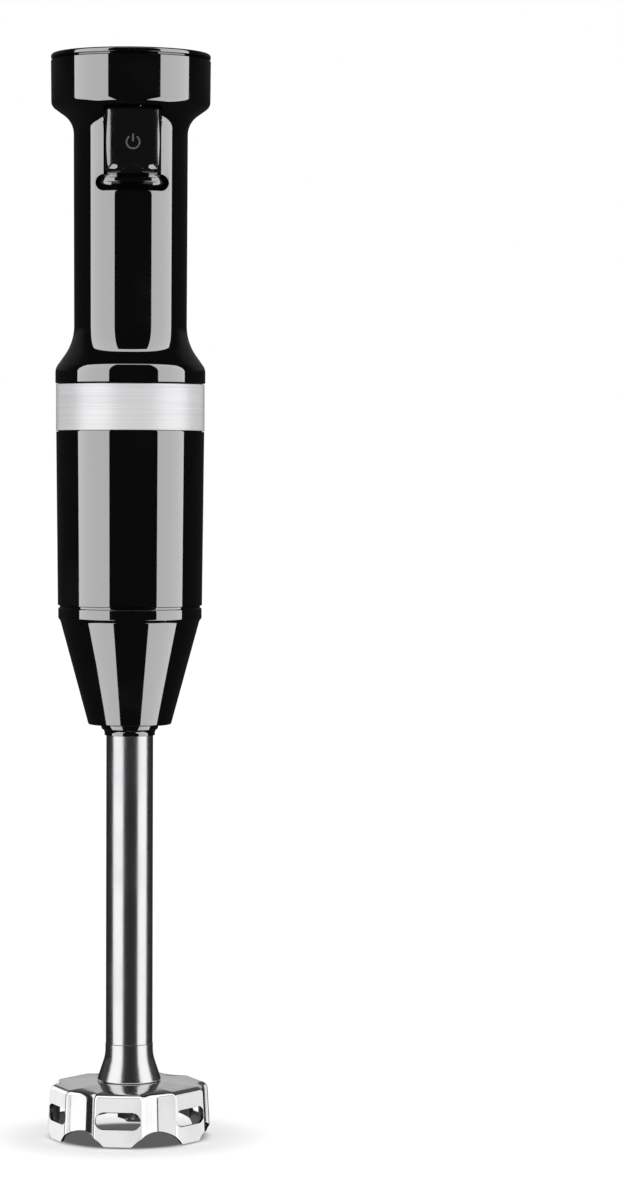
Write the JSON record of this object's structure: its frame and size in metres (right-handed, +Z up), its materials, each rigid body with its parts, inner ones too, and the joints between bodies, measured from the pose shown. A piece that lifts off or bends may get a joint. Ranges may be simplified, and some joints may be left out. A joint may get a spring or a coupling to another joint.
{
  "type": "immersion blender",
  "caption": "Stick blender: slim black motor handle with a squeeze trigger and steel band, twist-lock arm with a steel tube, slotted six-sided bell and a blade.",
  "frame": {"origin": "centre of the bell's footprint, on the plane of its feet", "axes": "+Z up along the blender's long axis, trigger facing -Y, cord inlet facing +Y"},
  "size_m": [0.0628, 0.0624, 0.416],
  "materials": {
    "gloss_black": "high-gloss injection moulding",
    "satin_black": "satin moulding",
    "soft_black": "soft moulding",
    "inner_black": "fine-textured moulding",
    "brushed_band": "brushed round the band",
    "satin_steel": "fine satin, lines along the turning",
    "polished_steel": "polished stainless",
    "blade_steel": "ground stainless",
    "screw_steel": "zinc-plated or ground steel",
    "rubber_black": "matt rubber",
    "rubber_grey": "silicone",
    "white_nylon": "natural nylon",
    "board_green": "solder-masked board",
    "capacitor_sleeve": "shrink sleeve",
    "copper": "enamelled or bare copper",
    "heatsink_aluminium": "extruded",
    "can_steel": "zinc-plated deep-drawn steel",
    "core_steel": "stacked laminations",
    "magnet_ferrite": "sintered ferrite",
    "carbon": "pressed carbon",
    "brass": "machined",
    "lead_red": "silicone insulation"
  },
  "bodies": {
    "motor_unit": {"top_cap": "gloss_black", "front_shell": "gloss_black", "rear_shell": "gloss_black", "cord_grommet": "soft_black", "cord_clamp": "inner_black", "clamp_screws": "screw_steel", "band_screws": "screw_steel", "trim_band": "brushed_band", "motor_body": "gloss_black", "bayonet_ring": "screw_steel", "lip_seal": "rubber_black", "trigger_pin": "screw_steel", "speed_switch": "white_nylon", "control_board": "board_green", "capacitor": "capacitor_sleeve", "choke": "copper", "heatsink": "heatsink_aluminium", "board_screws": "screw_steel", "motor_bracket": "white_nylon", "motor_can": "can_steel", "magnets": "magnet_ferrite", "end_bell": "inner_black", "brush_holders": "brass", "carbon_brushes": "carbon", "lower_bearing": "screw_steel", "upper_bearing": "screw_steel", "motor_mounts": "rubber_black", "motor_leads": "lead_red"},
    "armature": {"motor_shaft": "screw_steel", "armature_core": "core_steel", "armature_winding": "copper", "commutator": "copper", "cooling_fan": "white_nylon", "drive_dog": "screw_steel"},
    "lock_ring": {"lock_ring": "white_nylon"},
    "arm": {"arm_cone": "gloss_black", "arm_spigot": "inner_black", "spigot_seal": "rubber_grey", "tip_collar": "gloss_black", "shaft_tube": "satin_steel", "bell_neck": "satin_steel", "bell": "polished_steel", "upper_bush": "brass", "lower_bush": "brass", "shaft_seal": "rubber_black"},
    "blade_shaft": {"drive_shaft": "screw_steel", "driven_dog": "brass", "blade": "blade_steel", "blade_nut": "blade_steel"},
    "trigger": {"trigger": "satin_black", "trigger_spring": "screw_steel"},
    "speed_plunger": {"speed_plunger": "white_nylon"}
  },
  "joints": [
    {"name": "trigger_press", "type": "hinge", "parent": "motor_unit", "child": "trigger", "pos_m": [0, -0.0165, 0.391], "axis": [1, 0, 0], "range_deg": [0, 8], "stiffness_Nm_per_rad": 1.2},
    {"name": "plunger_slide", "type": "slide", "parent": "motor_unit", "child": "speed_plunger", "axis": [0, 1, 0], "range_m": [0, 0.0025]},
    {"name": "armature_spin", "type": "hinge", "parent": "motor_unit", "child": "armature", "pos_m": [0, 0, 0.25], "axis": [0, 0, 1], "continuous": true},
    {"name": "arm_twist", "type": "hinge", "parent": "motor_unit", "child": "lock_ring", "pos_m": [0, 0, 0.213], "axis": [0, 0, 1], "range_deg": [0, 30]},
    {"name": "arm_release", "type": "slide", "parent": "lock_ring", "child": "arm", "axis": [0, 0, -1], "range_m": [0, 0.05]},
    {"name": "blade_spin", "type": "hinge", "parent": "arm", "child": "blade_shaft", "pos_m": [0, 0, 0.11], "axis": [0, 0, 1], "continuous": true}
  ],
  "couplings": [
    {"joint": "plunger_slide", "follows": "trigger_press", "m_per_rad": 0.0165},
    {"joint": "blade_spin", "follows": "armature_spin", "ratio": 1}
  ]
}
